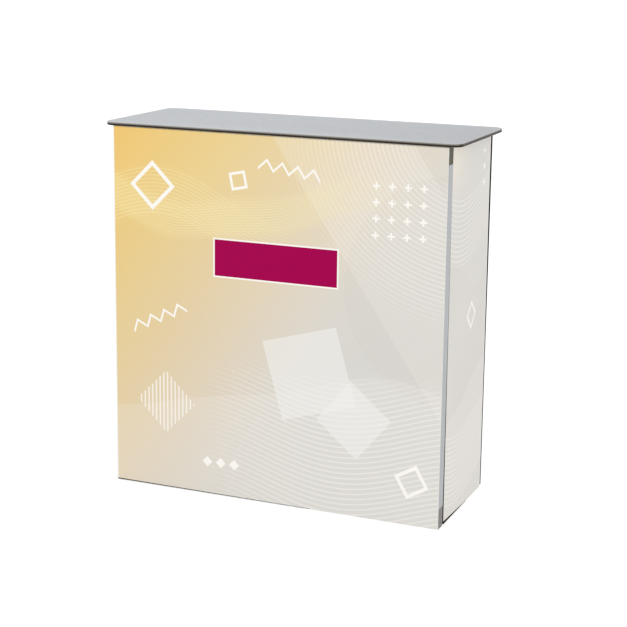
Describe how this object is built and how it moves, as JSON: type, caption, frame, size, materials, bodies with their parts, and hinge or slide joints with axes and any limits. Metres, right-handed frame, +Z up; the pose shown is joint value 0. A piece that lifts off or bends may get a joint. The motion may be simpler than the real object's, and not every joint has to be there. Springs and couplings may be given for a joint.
{
  "type": "folding exhibition counter",
  "caption": "Folding counter with a thin rounded top, an aluminium post frame with hinged side bars, printed panels on three sides and a shelf open at the back.",
  "frame": {"origin": "on the floor at the middle of the counter's overall footprint", "axes": "+X along the counter's width to the visitor's right, +Y from the printed front to the open back, +Z up"},
  "size_m": [0.998, 0.385, 1],
  "materials": {
    "laminate": "light grey compact laminate with a dark brown core showing at the edge",
    "front_print": "satin print on foam board, golden yellow running to warm pale grey",
    "side_print": "satin print on foam board, warm pale grey",
    "aluminium": "satin anodised extrusion",
    "fitting": "dark olive grey moulded plastic",
    "foot_fitting": "dark grey moulded plastic",
    "steel": "zinc plated steel",
    "tape": "matt brown-black magnetic tape",
    "melamine": "white melamine-faced board"
  },
  "bodies": {
    "front_frame": {"front_left_post": "aluminium", "front_right_post": "aluminium", "front_left_magnet_strip": "steel", "front_right_magnet_strip": "steel", "front_left_flange_strip": "steel", "front_right_flange_strip": "steel", "front_left_top_fitting": "fitting", "front_right_top_fitting": "fitting", "front_left_foot_fitting": "foot_fitting", "front_right_foot_fitting": "foot_fitting", "front_left_shelf_bracket": "steel", "front_right_shelf_bracket": "steel", "front_left_top_hinge_pin": "steel", "front_left_bottom_hinge_pin": "steel", "front_right_top_hinge_pin": "steel", "front_right_bottom_hinge_pin": "steel", "front_top_rail": "aluminium", "front_bottom_rail": "aluminium"},
    "rear_frame": {"rear_left_post": "aluminium", "rear_right_post": "aluminium", "rear_left_magnet_strip": "steel", "rear_right_magnet_strip": "steel", "rear_left_top_fitting": "fitting", "rear_right_top_fitting": "fitting", "rear_left_foot_fitting": "foot_fitting", "rear_right_foot_fitting": "foot_fitting", "rear_left_shelf_bracket": "steel", "rear_right_shelf_bracket": "steel", "rear_left_top_hinge_pin": "steel", "rear_left_bottom_hinge_pin": "steel", "rear_right_top_hinge_pin": "steel", "rear_right_bottom_hinge_pin": "steel", "rear_top_rail": "aluminium", "rear_bottom_rail": "aluminium"},
    "right_front_bars": {"right_front_top_bar": "aluminium", "right_front_bottom_bar": "aluminium", "right_top_middle_pin": "steel", "right_bottom_middle_pin": "steel"},
    "right_rear_bars": {"right_rear_top_bar": "aluminium", "right_rear_bottom_bar": "aluminium"},
    "left_front_bars": {"left_front_top_bar": "aluminium", "left_front_bottom_bar": "aluminium", "left_top_middle_pin": "steel", "left_bottom_middle_pin": "steel"},
    "left_rear_bars": {"left_rear_top_bar": "aluminium", "left_rear_bottom_bar": "aluminium"},
    "top": {"table_top": "laminate", "left_locating_peg": "fitting", "right_locating_peg": "fitting"},
    "front_panel": {"front_panel": "front_print", "front_panel_left_tape": "tape", "front_panel_right_tape": "tape"},
    "left_panel": {"left_panel": "side_print", "left_panel_front_tape": "tape", "left_panel_rear_tape": "tape"},
    "right_panel": {"right_panel": "side_print", "right_panel_front_tape": "tape", "right_panel_rear_tape": "tape"},
    "shelf": {"shelf": "melamine"}
  },
  "joints": [
    {"name": "right_front_hinge", "type": "hinge", "parent": "front_frame", "child": "right_front_bars", "pos_m": [0.46, -0.1412, 0.5], "axis": [0, 0, 1], "range_deg": [0, 87]},
    {"name": "frame_fold", "type": "hinge", "parent": "right_front_bars", "child": "right_rear_bars", "pos_m": [0.46, -0.00335, 0.5], "axis": [0, 0, -1], "range_deg": [0, 174]},
    {"name": "right_rear_hinge", "type": "hinge", "parent": "right_rear_bars", "child": "rear_frame", "pos_m": [0.46, 0.1345, 0.5], "axis": [0, 0, 1], "range_deg": [0, 87]},
    {"name": "left_front_hinge", "type": "hinge", "parent": "front_frame", "child": "left_front_bars", "pos_m": [-0.46, -0.1412, 0.5], "axis": [0, 0, 1], "range_deg": [-87, 0]},
    {"name": "left_middle_hinge", "type": "hinge", "parent": "left_front_bars", "child": "left_rear_bars", "pos_m": [-0.46, -0.00335, 0.5], "axis": [0, 0, 1], "range_deg": [0, 174]},
    {"name": "top_lift", "type": "slide", "parent": "front_frame", "child": "top", "axis": [0, 0, 1], "range_m": [0, 0.15]},
    {"name": "front_panel_pull", "type": "slide", "parent": "front_frame", "child": "front_panel", "axis": [0, -1, 0], "range_m": [0, 0.15]},
    {"name": "left_panel_pull", "type": "slide", "parent": "front_frame", "child": "left_panel", "axis": [-1, 0, 0], "range_m": [0, 0.15]},
    {"name": "right_panel_pull", "type": "slide", "parent": "front_frame", "child": "right_panel", "axis": [1, 0, 0], "range_m": [0, 0.15]},
    {"name": "shelf_slide", "type": "slide", "parent": "front_frame", "child": "shelf", "axis": [0, 1, 0], "range_m": [0, 0.38]}
  ],
  "couplings": [
    {"joint": "right_front_hinge", "follows": "frame_fold", "ratio": 0.5},
    {"joint": "right_rear_hinge", "follows": "frame_fold", "ratio": 0.5},
    {"joint": "left_front_hinge", "follows": "frame_fold", "ratio": -0.5},
    {"joint": "left_middle_hinge", "follows": "frame_fold", "ratio": 1}
  ]
}
